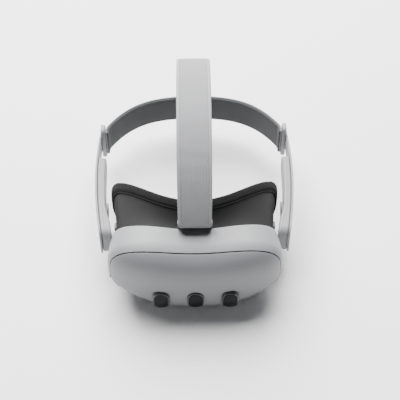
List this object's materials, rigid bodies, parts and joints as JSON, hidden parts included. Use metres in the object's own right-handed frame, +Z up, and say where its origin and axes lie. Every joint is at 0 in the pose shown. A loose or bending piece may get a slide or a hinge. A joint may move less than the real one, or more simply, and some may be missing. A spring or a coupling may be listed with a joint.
{
  "type": "vr headset",
  "caption": "Standalone head-worn display: goggle-shaped visor with sensor windows, soft face interface, side arms, rear band and overhead strap.",
  "frame": {"origin": "middle of the visor's flat underside", "axes": "+X across the width, -Y the way the visor faces, +Z up"},
  "size_m": [0.1884, 0.2322, 0.166],
  "materials": {
    "cover": "satin, fine texture",
    "shell": "matte, fine texture",
    "bezel": "satin",
    "window": "polished, dark",
    "camera": "matte",
    "battery": "wrapped",
    "board": "solder mask",
    "sink": "machined",
    "chassis": "cast",
    "screw": "blackened",
    "black_plastic": "matte",
    "rod": "ground",
    "lens": "polished, coated",
    "display": "polished",
    "arm": "matte",
    "inlet": "plated",
    "contact": "plated",
    "light": "translucent",
    "temple": "satin",
    "interface": "fabric-covered",
    "cushion": "foam under knitted cover",
    "release": "satin",
    "band": "woven elastic",
    "strap": "woven elastic"
  },
  "bodies": {
    "visor": {"front_cover": "cover", "main_shell": "shell", "sensor_bezels": "bezel", "left_sensor_window": "window", "centre_sensor_window": "window", "right_sensor_window": "window", "tracking_cameras": "camera", "depth_projector": "camera", "side_cameras": "camera", "battery_pack": "battery", "main_board": "board", "heat_sink": "sink", "chassis_frame": "chassis", "chassis_screws": "screw", "fan_housing": "black_plastic", "lens_panel": "black_plastic", "lens_guide_rod": "rod", "proximity_sensor": "window", "usb_inlet": "inlet", "audio_socket": "black_plastic", "rocker_bracket": "black_plastic", "charging_contacts": "contact", "status_light": "light", "strap_anchor": "shell", "left_temple": "temple", "right_temple": "temple"},
    "fan": {"fan_rotor": "black_plastic"},
    "spacing_drive": {"spacing_screw": "rod", "spacing_wheel": "black_plastic"},
    "left_optics": {"left_lens_barrel": "black_plastic", "left_lens": "lens", "left_display": "display"},
    "right_optics": {"right_lens_barrel": "black_plastic", "right_lens": "lens", "right_display": "display"},
    "power_key": {"power_button": "arm"},
    "volume_key": {"volume_rocker": "arm"},
    "face_interface": {"interface_frame": "interface", "face_cushion": "cushion"},
    "left_release": {"left_release_button": "release"},
    "right_release": {"right_release_button": "release"},
    "head_strap": {"left_arm": "arm", "right_arm": "arm", "left_arm_band": "arm", "right_arm_band": "arm", "left_speaker": "black_plastic", "right_speaker": "black_plastic", "left_speaker_grille": "black_plastic", "right_speaker_grille": "black_plastic", "left_buckle": "arm", "right_buckle": "arm", "rear_band": "band", "rear_slider": "arm", "overhead_strap": "strap"}
  },
  "joints": [
    {"name": "strap_tilt", "type": "hinge", "parent": "visor", "child": "head_strap", "pos_m": [0, 0.03, 0.045], "axis": [1, 0, 0], "range_deg": [-4, 26], "deforming": ["overhead_strap"]},
    {"name": "wheel_turn", "type": "hinge", "parent": "visor", "child": "spacing_drive", "pos_m": [0, 0.001, 0.011], "axis": [1, 0, 0], "range_deg": [-360, 360]},
    {"name": "left_lens_slide", "type": "slide", "parent": "visor", "child": "left_optics", "axis": [-1, 0, 0], "range_m": [-0.003, 0.003]},
    {"name": "right_lens_slide", "type": "slide", "parent": "visor", "child": "right_optics", "axis": [1, 0, 0], "range_m": [-0.003, 0.003]},
    {"name": "interface_slide", "type": "slide", "parent": "visor", "child": "face_interface", "axis": [0, 1, 0], "range_m": [0, 0.009]},
    {"name": "left_release_press", "type": "slide", "parent": "face_interface", "child": "left_release", "axis": [1, 0, 0], "range_m": [0, 0.0015], "stiffness_N_per_m": 400, "springref_m": -0.001},
    {"name": "right_release_press", "type": "slide", "parent": "face_interface", "child": "right_release", "axis": [-1, 0, 0], "range_m": [0, 0.0015], "stiffness_N_per_m": 400, "springref_m": -0.001},
    {"name": "power_press", "type": "slide", "parent": "visor", "child": "power_key", "axis": [1, 0, 0], "range_m": [0, 0.0008], "stiffness_N_per_m": 500, "springref_m": -0.0005},
    {"name": "volume_tip", "type": "hinge", "parent": "visor", "child": "volume_key", "pos_m": [0.0724, 0.003, 0.036], "axis": [0, 1, 0], "range_deg": [-2, 2], "stiffness_Nm_per_rad": 0.05},
    {"name": "fan_spin", "type": "hinge", "parent": "visor", "child": "fan", "pos_m": [0.044, -0.014, 0.044], "axis": [0, 1, 0], "continuous": true}
  ],
  "couplings": [
    {"joint": "wheel_turn", "follows": "left_lens_slide", "rad_per_m": 2094.4},
    {"joint": "right_lens_slide", "follows": "left_lens_slide", "ratio": 1}
  ]
}
